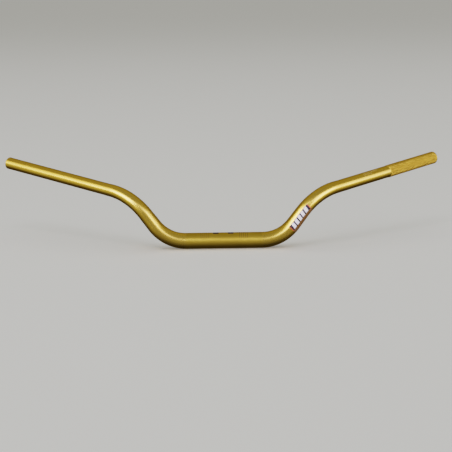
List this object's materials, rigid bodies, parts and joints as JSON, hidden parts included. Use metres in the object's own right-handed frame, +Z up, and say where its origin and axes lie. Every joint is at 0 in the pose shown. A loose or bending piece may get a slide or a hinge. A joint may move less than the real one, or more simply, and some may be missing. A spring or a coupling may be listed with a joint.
{
  "type": "motorcycle handlebar",
  "caption": "Bare oversize motorcycle handlebar: a bent, tapered aluminium tube with a thick clamped middle, risers, swept-back grips and a knurled left end.",
  "frame": {"origin": "on the axis of the clamped middle, halfway between the two ends", "axes": "+X to the rider's left hand along the clamped middle, +Y back to the rider, +Z up along the risers as the bar stands in the picture"},
  "size_m": [0.8238, 0.1845, 0.1456],
  "materials": {
    "gold_anodised": "gold anodised, satin"
  },
  "bodies": {
    "root": {"handlebar_tube": "gold_anodised"}
  },
  "joints": []
}
